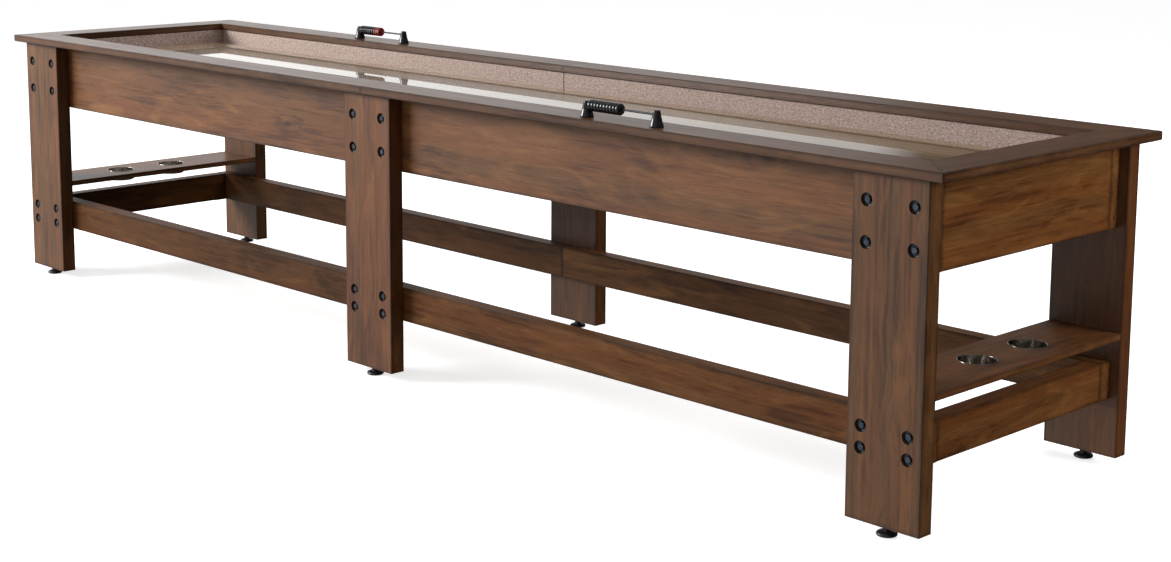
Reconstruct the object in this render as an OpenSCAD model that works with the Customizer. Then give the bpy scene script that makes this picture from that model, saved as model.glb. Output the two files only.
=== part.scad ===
// Twelve-foot shuffleboard table: a bolted frame on six plank legs, a carpeted cradle with gutters
// round a gloss playfield, mitred top rails, two end shelves with cup holders and two bead scorers.
// Millimetres. X runs along the table, Y across it, Z up, origin on the floor under its centre.

/* [Table] */
// Length over the top rails
table_l = 3658; // [3200:1:4200]
// Width over the top rails
table_w = 838; // [800:1:900]
// Height of the top face of the rails
table_h = 779; // [740:1:820]

/* [Top rails] */
// Width of a rail board
rail_w = 108; // [100:1:112]
// Thickness of a rail board
rail_t = 21.5; // [18:0.5:26]
// How far the rails stand out past the ends of the legs
rail_over_x = 42.5; // [30:0.5:55]
// How far the rails stand out past the faces of the legs
rail_over_y = 19.4; // [14:0.2:24]

/* [Legs] */
// Width of a leg plank along the table
leg_w = 190; // [180:1:200]
// Thickness of a leg plank
leg_t = 43; // [40:1:46]
// Gap between the floor and a leg, which the leveller fills
foot_h = 21.5; // [20:0.5:24]
// Half the distance between the two columns of leg bolts
bolt_dx = 59.5; // [54:0.5:62]
// Height of the leg bolts' rows above the floor
bolt_rows = [178, 225, 610, 698];

/* [Aprons and stretchers] */
// Height of an apron board
apron_h = 201; // [196:1:206]
// Thickness of an apron board
apron_t = 36; // [34:1:38]
// Height of a stretcher board
stretcher_h = 90; // [86:1:94]
// Thickness of a stretcher board
stretcher_t = 44; // [42:1:46]
// Height of a stretcher's underside above the floor
stretcher_z = 158; // [154:1:160]
// How far the end boards lie back from the ends of the legs
end_recess = 23.5; // [20:0.5:26]

/* [Shelves and cup holders] */
// Thickness of a shelf
shelf_t = 16; // [16:1:20]
// Height of a shelf's top face
shelf_z = 315; // [305:1:330]
// Inside radius of a cup holder
cup_r = 42; // [38:0.5:44]
// Depth of a cup holder under the shelf's top face
cup_depth = 30; // [24:1:36]
// Distance between the two cup holders of a shelf
cup_pitch = 195; // [180:1:220]
// How far the pair sits off the middle of the shelf
cup_shift = 25; // [0:1:40]

/* [Playfield and cradle] */
// Width of the playfield
field_w = 432; // [400:1:440]
// Thickness of the playfield
field_t = 40; // [36:1:44]
// Depth of the playfield's face under the top of the rails
field_drop = 52; // [48:1:56]
// Gap between the playfield and the carpet at each end
gutter_end = 100; // [90:1:110]
// Thickness of the carpet
carpet_t = 5; // [4:0.5:6]
// Thickness of the cradle's floor
floor_t = 18; // [15:1:18]
// Height of the cradle floor's underside
floor_z = 611; // [608:1:614]

/* [Scorers] */
// Middle of the front scorer along the table
scorer_front_x = 917; // [700:1:1100]
// Middle of the back scorer along the table
scorer_back_x = -885; // [-1100:1:-700]
// Centre line of the front scorer
scorer_front_y = -382; // [-396:1:-340]
// Centre line of the back scorer
scorer_back_y = 356; // [340:1:396]
// Distance between the posts of a scorer
post_pitch = 223; // [210:1:240]
// Height of a scorer post
post_h = 39; // [38:1:44]
// Radius of a bead
bead_r = 14; // [13:0.5:15]
// Distance from one bead to the next
bead_pitch = 10; // [9.5:0.5:10.5]

/* [Hidden] */

round_fn = 48;           // sides a round takes in a preview
past = 1;                // how far a cutter runs past a face
seam = 0.3;              // half the gap between two boards that meet at the middle
ease = 1.6;              // chamfer along the edges of a board
ease_rail = 2.2;         // chamfer along the edges of a rail

// Faces of the frame
half_l = table_l / 2;
half_w = table_w / 2;
leg_x_out = half_l - rail_over_x;
leg_y_out = half_w - rail_over_y;
leg_y_in = leg_y_out - leg_t;
leg_cx = leg_x_out - leg_w / 2;
leg_cy = leg_y_out - leg_t / 2;
leg_top = table_h - rail_t;
end_x = leg_x_out - end_recess;
apron_z = leg_top - apron_h;
apron_y_in = leg_y_in - apron_t;
apron_x_in = end_x - apron_t;
stretcher_y_in = leg_y_in - stretcher_t;
stretcher_x_in = end_x - stretcher_t;

// Cradle and playfield
wall_y = apron_y_in - carpet_t;
wall_x = apron_x_in - carpet_t;
floor_top = floor_z + floor_t;
carpet_top = floor_top + carpet_t;
field_top = table_h - field_drop;
field_z = field_top - field_t;
field_l = 2 * (wall_x - gutter_end);
field_ease = 2;
cleat = 25;
riser_w = 50;
riser_pitch = 600;
adjuster_y = 140;
adjuster_z = field_z - 19;

// Leg bolts: M8, in a counterbore with a cup washer, into a threaded insert in the board behind
bolt_r = 4;
bolt_hole_r = 4.4;
bore_r = 14.5;
bore_depth = 9;
washer_r = 14.1;
washer_t = 1.6;
washer_lip_h = 5;
washer_lip_t = 1.5;
head_flats = 13;
head_h = 5.3;
bolt_insert_r = 6;
bolt_insert_len = 20;
bolt_end = leg_t + 0.2 + bolt_insert_len + 1;  // from the leg's face to the end of a bolt

// Levellers
foot_r = 22.5;
stem_r = 5;
stem_len = 38;           // above the underside of the leg
insert_r = 7;
insert_h = 16;
insert_flange_r = 11;
insert_flange_t = 1.5;
stem_well = 47;

// Scorers
post_base_r = 16.5;
post_top_r = 8.5;
rod_r = 2.5;
rod_z = table_h + 28;
bead_bore_r = rod_r + 0.08;
bead_t = bead_pitch - 0.3;
beads = 10;
red_beads = 3;
bead_stop = 12.6;  // from the axis of a post to the face of the bead that rests against it
bead_start = -post_pitch / 2 + bead_stop;

// Hardware of the frame
plate_t = 3;
plate_h = 24;
plate_l = 200;
strap_l = 80;
bracket_l = 50;
screw_r = 2;
screw_len = 16;
screw_head_r = 4;
screw_head_h = 2.2;
apron_plate_z = apron_z + 3;

wood = "#6b4a33";
rail_wood = "#5d4a3f";

// ---------- shared shapes ----------

// Rectangle from (a0, b0) to (a1, b1) with its corners cut by c
module eased_rect(a0, a1, b0, b1, c) {
  polygon([[a0 + c, b0], [a1 - c, b0], [a1, b0 + c], [a1, b1 - c],
           [a1 - c, b1], [a0 + c, b1], [a0, b1 - c], [a0, b0 + c]]);
}

// Board along X
module board_x(x0, x1, y0, y1, z0, z1, c = ease) {
  translate([x0, 0, 0]) rotate([90, 0, 90]) linear_extrude(x1 - x0) eased_rect(y0, y1, z0, z1, c);
}

// Board along Y
module board_y(x0, x1, y0, y1, z0, z1, c = ease) {
  translate([0, y1, 0]) rotate([90, 0, 0]) linear_extrude(y1 - y0) eased_rect(x0, x1, z0, z1, c);
}

// Plain block between two corners
module block(low, high) {
  translate(low) cube(high - low);
}

// Moves a shape that points out of a leg's face to the face on side sy
module at_face(x, sy, y, z) {
  translate([x, sy * y, z]) rotate([-sy * 90, 0, 0]) children();
}

// Positions of the leg bolts: one child for each column of x values, in all the rows given
module at_bolts(xs, sy, rows) {
  for (x = xs, z = rows) at_face(x, sy, leg_y_out, z) children();
}

module each_leg() {
  for (x = [-leg_cx, 0, leg_cx], sy = [-1, 1]) translate([x, sy * leg_cy, 0]) children();
}

// ---------- legs and their hardware ----------

module leg(x, sy) {
  color(wood) difference() {
    translate([x, sy * leg_cy, foot_h])
      linear_extrude(leg_top - foot_h) eased_rect(-leg_w / 2, leg_w / 2, -leg_t / 2, leg_t / 2, ease);
    at_bolts([x - bolt_dx, x + bolt_dx], sy, bolt_rows) {
      translate([0, 0, -bore_depth]) cylinder(r = bore_r, h = bore_depth + past, $fn = round_fn);
      translate([0, 0, -leg_t - past]) cylinder(r = bolt_hole_r, h = leg_t + past, $fn = round_fn);
    }
    translate([x, sy * leg_cy, foot_h - past]) {
      cylinder(r = insert_r, h = insert_h + past, $fn = round_fn);
      cylinder(r = stem_r + 0.6, h = stem_well + past, $fn = round_fn);
    }
    if (x != 0) dowel_holes(sign(x));
  }
}

module leg_bolt() {
  head_z = washer_t - bore_depth;
  translate([0, 0, head_z]) cylinder(d = head_flats / cos(30), h = head_h, $fn = 6);
  translate([0, 0, -bolt_end]) cylinder(r = bolt_r, h = head_z + bolt_end, $fn = round_fn);
}

module cup_washer() {
  translate([0, 0, -bore_depth]) rotate_extrude($fn = round_fn)
    polygon([[bolt_hole_r, 0], [washer_r, 0], [washer_r, washer_lip_h], [washer_r - 0.6, washer_lip_h + 0.5],
             [washer_r - washer_lip_t, washer_lip_h], [washer_r - washer_lip_t - 2, washer_t],
             [bolt_hole_r, washer_t]]);
}

// Threaded insert in the board behind the leg
module bolt_insert() {
  translate([0, 0, -leg_t - 0.2 - bolt_insert_len]) difference() {
    cylinder(r = bolt_insert_r - 0.05, h = bolt_insert_len, $fn = round_fn);
    translate([0, 0, -past]) cylinder(r = bolt_r + 0.02, h = bolt_insert_len + 2 * past, $fn = round_fn);
  }
}

module every_leg_bolt() {
  for (x = [-leg_cx, 0, leg_cx], sy = [-1, 1]) at_bolts([x - bolt_dx, x + bolt_dx], sy, bolt_rows) children();
}

// ---------- levellers ----------

module leveller(x, sy) {
  color("#1b1b1c") translate([x, sy * leg_cy, 0]) {
    rotate_extrude($fn = round_fn)
      polygon([[0, 0], [foot_r - 1.5, 0], [foot_r, 1.5], [foot_r, 5], [foot_r - 2, 7.5], [12, 10], [0, 10]]);
    translate([0, 0, 9.5]) cylinder(d = 17 / cos(30), h = 5.5, $fn = 6);
    cylinder(r = stem_r, h = foot_h + stem_len, $fn = round_fn);
  }
}

module leveller_insert() {
  translate([0, 0, foot_h]) difference() {
    union() {
      translate([0, 0, -insert_flange_t]) cylinder(r = insert_flange_r, h = insert_flange_t, $fn = round_fn);
      cylinder(r = insert_r - 0.05, h = insert_h - 0.5, $fn = round_fn);
    }
    translate([0, 0, -insert_flange_t - past]) cylinder(r = stem_r + 0.06, h = insert_h + 3 * past, $fn = round_fn);
  }
}

// ---------- aprons and stretchers ----------

// Blind holes in the outer face of a long board, on side sy and half sx, each for an insert and a bolt's end
module bolt_cuts(sx, sy, rows) {
  at_bolts([sx * bolt_dx, sx * (leg_cx - bolt_dx), sx * (leg_cx + bolt_dx)], sy, rows) {
    translate([0, 0, -leg_t - 0.2 - bolt_insert_len])
      cylinder(r = bolt_insert_r, h = bolt_insert_len + 0.2 + past, $fn = round_fn);
    translate([0, 0, -bolt_end - past]) cylinder(r = bolt_hole_r, h = bolt_end - leg_t, $fn = round_fn);
  }
}

module apron_long(sx, sy) {
  color(wood) difference() {
    board_x(min(sx * seam, sx * end_x), max(sx * seam, sx * end_x),
            min(sy * apron_y_in, sy * leg_y_in), max(sy * apron_y_in, sy * leg_y_in), apron_z, leg_top);
    bolt_cuts(sx, sy, [bolt_rows[2], bolt_rows[3]]);
    frame_screw_holes();
  }
}

module apron_end(sx) {
  color(wood) difference() {
    board_y(min(sx * apron_x_in, sx * end_x), max(sx * apron_x_in, sx * end_x),
            -apron_y_in, apron_y_in, apron_z, leg_top);
    frame_screw_holes();
  }
}

module stretcher_long(sx, sy) {
  color(wood) difference() {
    board_x(min(sx * seam, sx * end_x), max(sx * seam, sx * end_x),
            min(sy * stretcher_y_in, sy * leg_y_in), max(sy * stretcher_y_in, sy * leg_y_in),
            stretcher_z, stretcher_z + stretcher_h);
    bolt_cuts(sx, sy, [bolt_rows[0], bolt_rows[1]]);
    frame_screw_holes();
  }
}

module stretcher_end(sx) {
  color(wood) difference() {
    board_y(min(sx * stretcher_x_in, sx * end_x), max(sx * stretcher_x_in, sx * end_x),
            -stretcher_y_in, stretcher_y_in, stretcher_z, stretcher_z + stretcher_h);
    frame_screw_holes();
  }
}

// ---------- brackets, plates and screws that hold the boards ----------

// Corner bracket in the first quadrant's corner (x_in, y_in), with its lower edge at z
module corner_bracket(x_in, y_in, z) {
  difference() {
    union() {
      block([x_in - bracket_l, y_in - plate_t, z], [x_in, y_in, z + plate_h]);
      block([x_in - plate_t, y_in - bracket_l, z], [x_in, y_in, z + plate_h]);
    }
    at_bracket_screws(x_in, y_in, z) cylinder(r = screw_r + 0.2, h = 3 * plate_t, center = true, $fn = 24);
  }
}

// Screw places of a corner bracket, local Z out of the wood
module at_bracket_screws(x_in, y_in, z) {
  for (d = [18, 38]) {
    translate([x_in - d, y_in, z + plate_h / 2]) rotate([90, 0, 0]) children();
    translate([x_in, y_in - d, z + plate_h / 2]) rotate([0, -90, 0]) children();
  }
}

// The eight inner corners of the frame
module mirrored_corners() {
  for (sx = [0, 1], sy = [0, 1]) mirror([sx, 0, 0]) mirror([0, sy, 0]) children();
}

module seam_plate(y_in, z) {
  difference() {
    block([-plate_l / 2, y_in - plate_t, z], [plate_l / 2, y_in, z + plate_h]);
    at_plate_screws(y_in, z) cylinder(r = screw_r + 0.2, h = 3 * plate_t, center = true, $fn = 24);
  }
}

module at_plate_screws(y_in, z) {
  for (x = [-85, -30, 30, 85]) translate([x, y_in, z + plate_h / 2]) rotate([90, 0, 0]) children();
}

// Flat strap under a joint of two stretchers, along local X with the joint at its middle
module strap() {
  difference() {
    block([-strap_l / 2, -plate_h / 2, -plate_t], [strap_l / 2, plate_h / 2, 0]);
    at_strap_screws() cylinder(r = screw_r + 0.2, h = 3 * plate_t, center = true, $fn = 24);
  }
}

module at_strap_screws() {
  for (x = [-30, -14, 14, 30]) translate([x, 0, 0]) rotate([180, 0, 0]) children();
}

module at_stretcher_corner() {
  translate([stretcher_x_in + stretcher_t / 2, stretcher_y_in, stretcher_z]) rotate([0, 0, 90]) children();
}

module at_stretcher_seam() {
  translate([0, stretcher_y_in + stretcher_t / 2, stretcher_z]) children();
}

// Every place that takes a frame screw, local Z out of the wood
module at_frame_screws() {
  mirrored_corners() {
    at_bracket_screws(apron_x_in, apron_y_in, apron_plate_z) children();
    at_stretcher_corner() at_strap_screws() children();
  }
  for (sy = [0, 1]) mirror([0, sy, 0]) {
    at_plate_screws(apron_y_in, apron_plate_z) children();
    at_stretcher_seam() at_strap_screws() children();
  }
}

module frame_screw_holes() {
  at_frame_screws() translate([0, 0, -screw_len - past])
    cylinder(r = screw_r + 0.1, h = screw_len + 2 * past, $fn = 24);
}

module frame_screw() {
  translate([0, 0, -screw_len]) cylinder(r = screw_r, h = screw_len + plate_t, $fn = 24);
  translate([0, 0, plate_t]) cylinder(r1 = screw_head_r, r2 = screw_head_r - 1, h = screw_head_h, $fn = 24);
}

// ---------- top rails ----------

// Plan of a rail half: straight at the middle and mitred at the corner
module rail_long(sx, sy) {
  color(rail_wood) difference() {
    intersection() {
      board_x(min(sx * seam, sx * half_l), max(sx * seam, sx * half_l),
              min(sy * half_w, sy * (half_w - rail_w)), max(sy * half_w, sy * (half_w - rail_w)),
              leg_top, table_h, ease_rail);
      translate([0, 0, leg_top - past]) linear_extrude(rail_t + 2 * past)
        polygon([[0, sy * (half_w + past)], [sx * (half_l + past - seam), sy * (half_w + past)],
                 [sx * (half_l - rail_w - past - seam), sy * (half_w - rail_w - past)],
                 [0, sy * (half_w - rail_w - past)]]);
    }
    stud_holes();
  }
}

module rail_end(sx) {
  color(rail_wood) intersection() {
    board_y(min(sx * half_l, sx * (half_l - rail_w)), max(sx * half_l, sx * (half_l - rail_w)),
            -half_w, half_w, leg_top, table_h, ease_rail);
    translate([0, 0, leg_top - past]) linear_extrude(rail_t + 2 * past)
      polygon([[sx * (half_l + past), half_w + past - seam], [sx * (half_l + past), -half_w - past + seam],
               [sx * (half_l - rail_w - past), -(half_w - rail_w - past) + seam],
               [sx * (half_l - rail_w - past), half_w - rail_w - past - seam]]);
  }
}

// ---------- shelves and cup holders ----------

function cup_y(sx, k) = sx * (cup_shift + k * cup_pitch / 2);

module shelf(sx) {
  color(rail_wood) difference() {
    board_y(min(sx * (leg_x_out - leg_w + 3), sx * (leg_x_out - 1)),
            max(sx * (leg_x_out - leg_w + 3), sx * (leg_x_out - 1)),
            -leg_y_in, leg_y_in, shelf_z - shelf_t, shelf_z);
    for (k = [-1, 1]) translate([sx * leg_cx, cup_y(sx, k), shelf_z - shelf_t - past])
      cylinder(r = cup_r + 1.4, h = shelf_t + 2 * past, $fn = 64);
    dowel_holes(sx);
  }
}

// Spun cup: a thin wall, a floor and a narrow rolled rim on the shelf
module cup_liner(sx, k) {
  wall_t = 1.2;
  rim = 2.4;
  color("#b9b4ac") translate([sx * leg_cx, cup_y(sx, k), shelf_z]) rotate_extrude($fn = 96)
    polygon([[0, -cup_depth - wall_t], [cup_r + wall_t - 2, -cup_depth - wall_t],
             [cup_r + wall_t, -cup_depth - wall_t + 2], [cup_r + wall_t, 0],
             [cup_r + rim, 0], [cup_r + rim - 0.5, wall_t], [cup_r, wall_t], [cup_r, -cup_depth], [0, -cup_depth]]);
}

module at_dowels(sx) {
  for (x = [leg_cx - 55, leg_cx + 55], sy = [-1, 1])
    translate([sx * x, sy * leg_y_in, shelf_z - shelf_t / 2]) rotate([-sy * 90, 0, 0]) children();
}

module dowel_holes(sx) {
  at_dowels(sx) cylinder(r = 4.1, h = 52, center = true, $fn = 24);
}

module dowel() {
  cylinder(r = 4, h = 50, center = true, $fn = 24);
}

// ---------- cradle, carpet and playfield ----------

module wall_carpet_long(sy) {
  color("#a08c80") for (sx = [-1, 1])
    block([min(sx * seam, sx * (apron_x_in - carpet_t)), min(sy * wall_y, sy * apron_y_in), floor_top],
          [max(sx * seam, sx * (apron_x_in - carpet_t)), max(sy * wall_y, sy * apron_y_in), leg_top]);
}

module wall_carpet_ends() {
  color("#a08c80") for (sx = [-1, 1])
    block([min(sx * wall_x, sx * apron_x_in), -apron_y_in, floor_top],
          [max(sx * wall_x, sx * apron_x_in), apron_y_in, leg_top]);
}

// Four strips of carpet along the bottom of the gutters, tucked under the playfield
module floor_carpet() {
  tuck = 12;
  y_in = field_w / 2 - tuck;
  x_in = field_l / 2 - tuck;
  color("#8c7a70") {
    for (sy = [-1, 1])
      block([-wall_x, min(sy * y_in, sy * wall_y), floor_top], [wall_x, max(sy * y_in, sy * wall_y), carpet_top]);
    for (sx = [-1, 1])
      block([min(sx * x_in, sx * wall_x), -y_in, floor_top], [max(sx * x_in, sx * wall_x), y_in, carpet_top]);
  }
}

module cradle_floor() {
  color("#b08d62") for (sx = [-1, 1])
    block([min(sx * seam, sx * apron_x_in), -apron_y_in, floor_z],
          [max(sx * seam, sx * apron_x_in), apron_y_in, floor_top]);
}

module floor_cleats() {
  x_end = apron_x_in - cleat;
  color("#b08d62") {
    for (sx = [-1, 1], sy = [-1, 1])
      block([min(sx * seam, sx * x_end), min(sy * (apron_y_in - cleat), sy * apron_y_in), floor_z - cleat],
            [max(sx * seam, sx * x_end), max(sy * (apron_y_in - cleat), sy * apron_y_in), floor_z]);
    for (sx = [-1, 1])
      block([min(sx * x_end, sx * apron_x_in), -apron_y_in, floor_z - cleat],
            [max(sx * x_end, sx * apron_x_in), apron_y_in, floor_z]);
  }
}

module riser_beams() {
  y_end = field_w / 2 - 14;
  color("#b08d62") for (k = [-2.5:1:2.5])
    block([k * riser_pitch - riser_w / 2, -y_end, floor_top], [k * riser_pitch + riser_w / 2, y_end, field_z]);
}

module playfield() {
  color("#b98a4f") board_x(-field_l / 2, field_l / 2, -field_w / 2, field_w / 2, field_z, field_top, field_ease);
}

// Steel blocks under the playfield that the adjuster rods pull on
module adjuster_brackets() {
  color("#2c2d2f") for (k = [-2:1:2], sy = [-1, 1]) difference() {
    block([k * riser_pitch - 25, sy * adjuster_y - 6, field_z - 32], [k * riser_pitch + 25, sy * adjuster_y + 6, field_z]);
    translate([k * riser_pitch, sy * adjuster_y, adjuster_z]) rotate([90, 0, 0])
      cylinder(r = 5.3, h = 12 + 2 * past, center = true, $fn = round_fn);
  }
}

module adjuster_rods() {
  rod_l = 2 * adjuster_y + 60;
  color("#8f9194") for (k = [-2:1:2]) translate([k * riser_pitch, 0, adjuster_z]) rotate([90, 0, 0]) {
    cylinder(r = 5, h = rod_l, center = true, $fn = round_fn);
    for (sy = [-1, 1], d = [-10.1, 10.1])
      translate([0, 0, sy * adjuster_y + d]) cylinder(d = 17 / cos(30), h = 8, center = true, $fn = 6);
  }
}

// ---------- scorers ----------

// Both scorers, local origin on the rail's top face midway between the posts
module at_scorers() {
  translate([scorer_front_x, scorer_front_y, 0]) children();
  translate([scorer_back_x, scorer_back_y, 0]) children();
}

module scorer_post() {
  difference() {
    translate([0, 0, table_h]) rotate_extrude($fn = 64)
      polygon([[0, 0], [post_base_r, 0], [post_base_r, 2.5], [post_base_r - 1.2, 7], [13.4, 13], [11.7, 19],
               [10.4, 26], [9.2, 33], [post_top_r, post_h - 2.6], [post_top_r - 1.6, post_h - 0.6],
               [post_top_r - 4.4, post_h], [0, post_h]]);
    translate([0, 0, rod_z]) rotate([0, 90, 0])
      cylinder(r = rod_r + 0.05, h = 12, center = true, $fn = round_fn);
    translate([0, 0, table_h - past]) cylinder(r = 2.6, h = 11 + past, $fn = 24);
  }
}

// A post whose rod hole opens on its +X side when sx is 1, or its -X side when sx is -1
module scorer_posts() {
  color("#141416") at_scorers() for (sx = [-1, 1]) translate([sx * post_pitch / 2, 0, 0])
    difference() {
      scorer_post();
      translate([0, 0, rod_z]) rotate([0, -sx * 90, 0])
        cylinder(r = rod_r + 0.05, h = post_base_r, $fn = round_fn);
    }
}

module scorer_rods() {
  rod_l = post_pitch + 10;
  color("#232325") at_scorers() translate([0, 0, rod_z]) rotate([0, 90, 0])
    cylinder(r = rod_r, h = rod_l, center = true, $fn = round_fn);
}

module stud_holes() {
  at_scorers() for (sx = [-1, 1]) translate([sx * post_pitch / 2, 0, table_h - 16])
    cylinder(r = 2.6, h = 16 + past, $fn = 24);
}

module scorer_studs() {
  color("#8f9194") at_scorers() for (sx = [-1, 1]) translate([sx * post_pitch / 2, 0, table_h - 15])
    cylinder(r = 2.5, h = 25, $fn = 24);
}

// Disc bead with a rounded rim, its axis along X
module bead() {
  rim = 2.6;
  rotate([0, 90, 0]) rotate_extrude($fn = 64)
    polygon([[bead_bore_r, 0.9], [bead_bore_r + 1.4, 0], [bead_r - rim, 0], [bead_r - 0.9, 1.1], [bead_r, 3],
             [bead_r, bead_t - 3], [bead_r - 0.9, bead_t - 1.1], [bead_r - rim, bead_t],
             [bead_bore_r + 1.4, bead_t], [bead_bore_r, bead_t - 0.9]]);
}

// Beads first to last of a scorer, packed from the left post
module bead_run(first, last, x, y) {
  for (k = [first:last]) translate([x + bead_start + k * bead_pitch, y, rod_z]) bead();
}

// ---------- nodes ----------

leg(-leg_cx, -1);  // leg_front_left
leg(0, -1);  // leg_front_middle
leg(leg_cx, -1);  // leg_front_right
leg(-leg_cx, 1);  // leg_back_left
leg(0, 1);  // leg_back_middle
leg(leg_cx, 1);  // leg_back_right
apron_long(-1, -1);  // apron_front_left
apron_long(1, -1);  // apron_front_right
apron_long(-1, 1);  // apron_back_left
apron_long(1, 1);  // apron_back_right
apron_end(-1);  // apron_end_left
apron_end(1);  // apron_end_right
stretcher_long(-1, -1);  // stretcher_front_left
stretcher_long(1, -1);  // stretcher_front_right
stretcher_long(-1, 1);  // stretcher_back_left
stretcher_long(1, 1);  // stretcher_back_right
stretcher_end(-1);  // stretcher_end_left
stretcher_end(1);  // stretcher_end_right
rail_long(-1, -1);  // rail_front_left
rail_long(1, -1);  // rail_front_right
rail_long(-1, 1);  // rail_back_left
rail_long(1, 1);  // rail_back_right
rail_end(-1);  // rail_end_left
rail_end(1);  // rail_end_right
shelf(-1);  // shelf_left
shelf(1);  // shelf_right
cup_liner(-1, 1);  // cup_liner_left_front
cup_liner(-1, -1);  // cup_liner_left_back
cup_liner(1, -1);  // cup_liner_right_front
cup_liner(1, 1);  // cup_liner_right_back
wall_carpet_long(-1);  // wall_carpet_front
wall_carpet_long(1);  // wall_carpet_back
wall_carpet_ends();
floor_carpet();
cradle_floor();
floor_cleats();
riser_beams();
playfield();
adjuster_brackets();
adjuster_rods();
color("#3d4650") every_leg_bolt() leg_bolt();  // leg_bolts
color("#0e0e10") every_leg_bolt() cup_washer();  // leg_bolt_washers
color("#8f9194") every_leg_bolt() bolt_insert();  // leg_bolt_inserts
leveller(-leg_cx, -1);  // leveller_front_left
leveller(0, -1);  // leveller_front_middle
leveller(leg_cx, -1);  // leveller_front_right
leveller(-leg_cx, 1);  // leveller_back_left
leveller(0, 1);  // leveller_back_middle
leveller(leg_cx, 1);  // leveller_back_right
color("#8f9194") each_leg() leveller_insert();  // leveller_inserts
scorer_posts();
scorer_rods();
scorer_studs();
color("#141416") bead_run(0, beads - 1, scorer_front_x, scorer_front_y);  // beads_front_black
color("#141416") bead_run(0, beads - red_beads - 1, scorer_back_x, scorer_back_y);  // beads_back_black
color("#6e1618") bead_run(beads - red_beads, beads - 1, scorer_back_x, scorer_back_y);  // beads_back_red
color("#2c2d2f") mirrored_corners() {  // corner_brackets
  corner_bracket(apron_x_in, apron_y_in, apron_plate_z);
  at_stretcher_corner() strap();
}
color("#2c2d2f") for (sy = [0, 1]) mirror([0, sy, 0]) {  // seam_plates
  seam_plate(apron_y_in, apron_plate_z);
  at_stretcher_seam() strap();
}
color("#8f9194") at_frame_screws() frame_screw();  // frame_screws
color("#b08d62") for (sx = [-1, 1]) at_dowels(sx) dowel();  // shelf_dowels
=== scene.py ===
"""Looks of the shuffleboard table.

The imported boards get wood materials. Turned, moulded and carpeted pieces are built again as fine meshes that
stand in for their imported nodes.
"""

import math
import random

import bmesh
import bpy
from mathutils import Matrix, Vector, noise


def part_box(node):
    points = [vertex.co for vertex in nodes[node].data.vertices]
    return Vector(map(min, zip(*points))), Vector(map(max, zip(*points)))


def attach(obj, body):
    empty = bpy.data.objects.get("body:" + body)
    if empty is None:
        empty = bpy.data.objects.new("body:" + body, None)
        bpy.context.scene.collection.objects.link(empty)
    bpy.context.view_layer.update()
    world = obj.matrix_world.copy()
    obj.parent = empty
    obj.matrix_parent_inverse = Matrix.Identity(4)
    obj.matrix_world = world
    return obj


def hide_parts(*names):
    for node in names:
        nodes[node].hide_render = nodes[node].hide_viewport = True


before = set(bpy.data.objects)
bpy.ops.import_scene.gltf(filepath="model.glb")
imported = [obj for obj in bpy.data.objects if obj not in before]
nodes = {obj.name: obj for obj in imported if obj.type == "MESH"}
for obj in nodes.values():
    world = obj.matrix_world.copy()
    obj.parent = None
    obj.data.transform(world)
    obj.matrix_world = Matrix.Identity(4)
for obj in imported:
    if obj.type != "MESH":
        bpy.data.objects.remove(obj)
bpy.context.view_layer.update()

LONG_SIDES = ("front", "back")
ENDS = ("left", "right")
LEG_PLACES = ("left", "middle", "right")


# ---------------------------------------------------------------- shader graphs

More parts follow.
